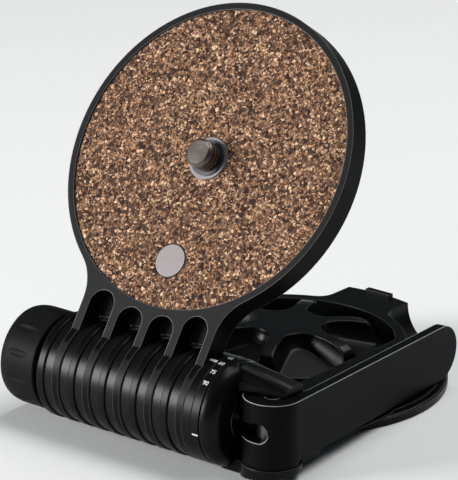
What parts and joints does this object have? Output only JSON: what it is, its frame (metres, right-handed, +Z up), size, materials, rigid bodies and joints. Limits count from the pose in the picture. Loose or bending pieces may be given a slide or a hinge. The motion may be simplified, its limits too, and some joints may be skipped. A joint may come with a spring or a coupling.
{
  "type": "tilt platform",
  "caption": "Fold-down tilt platform with a cork-faced round plate, a camera stud, a multi-leaf friction hinge with cam lever and tension knob, and a base with a tripod thread.",
  "frame": {"origin": "on the tripod axis at the underside of the base", "axes": "+Z up along the tripod axis, +X along the hinge towards the lever, -Y from the tripod axis towards the hinge"},
  "size_m": [0.1104, 0.142, 0.1303],
  "materials": {
    "base_plate": "black anodised, satin",
    "base_body": "black anodised, satin",
    "rear_tab": "satin",
    "base_screws": "turned",
    "friction_discs": "matt",
    "scale_ring": "black anodised, satin",
    "rod_bushes": "turned",
    "thrust_washer": "turned",
    "pressure_pad": "turned",
    "glide_washer": "smooth",
    "retaining_ring": "phosphated",
    "star_knob": "black anodised, satin",
    "thread_bush": "turned",
    "top_plate": "black anodised, satin",
    "index_ring": "black anodised, satin",
    "cork_pad": "cork, sanded",
    "camera_stud": "turned",
    "stud_washer": "turned",
    "stud_ring": "turned",
    "badge_disc": "brushed",
    "clamp_rod": "turned",
    "cam_lever": "black anodised, satin",
    "lever_pin": "ground",
    "eye_washers": "smooth",
    "tension_knob": "matt",
    "knob_insert": "turned",
    "spring_washers": "spring steel"
  },
  "bodies": {
    "base": {"base_plate": "base_plate", "base_body": "base_body", "rear_tab": "rear_tab", "base_screws": "base_screws", "friction_discs": "friction_discs", "scale_ring": "scale_ring", "rod_bushes": "rod_bushes", "thrust_washer": "thrust_washer", "pressure_pad": "pressure_pad", "glide_washer": "glide_washer"},
    "plate": {"top_plate": "top_plate", "index_ring": "index_ring", "cork_pad": "cork_pad", "camera_stud": "camera_stud", "stud_washer": "stud_washer", "stud_ring": "stud_ring", "badge_disc": "badge_disc"},
    "star": {"star_knob": "star_knob", "thread_bush": "thread_bush", "retaining_ring": "retaining_ring"},
    "rod": {"clamp_rod": "clamp_rod"},
    "lever": {"cam_lever": "cam_lever", "lever_pin": "lever_pin", "eye_washers": "eye_washers"},
    "knob": {"tension_knob": "tension_knob", "knob_insert": "knob_insert", "spring_washers": "spring_washers"}
  },
  "joints": [
    {"name": "plate_tilt", "type": "hinge", "parent": "base", "child": "plate", "pos_m": [0, -0.072, 0.0174], "axis": [1, 0, 0], "range_deg": [-56, 33]},
    {"name": "star_spin", "type": "hinge", "parent": "base", "child": "star", "pos_m": [0, 0, 0.01], "axis": [0, 0, 1], "continuous": true},
    {"name": "rod_pull", "type": "slide", "parent": "base", "child": "rod", "axis": [-1, 0, 0], "range_m": [0, 0.0005]},
    {"name": "lever_swing", "type": "hinge", "parent": "rod", "child": "lever", "pos_m": [0.0485, -0.072, 0.0174], "axis": [0, 0, -1], "range_deg": [0, 90]},
    {"name": "knob_spin", "type": "hinge", "parent": "rod", "child": "knob", "pos_m": [-0.0425, -0.072, 0.0174], "axis": [1, 0, 0], "continuous": true}
  ],
  "couplings": [
    {"joint": "rod_pull", "follows": "lever_swing", "m_per_rad": 0.00031}
  ]
}
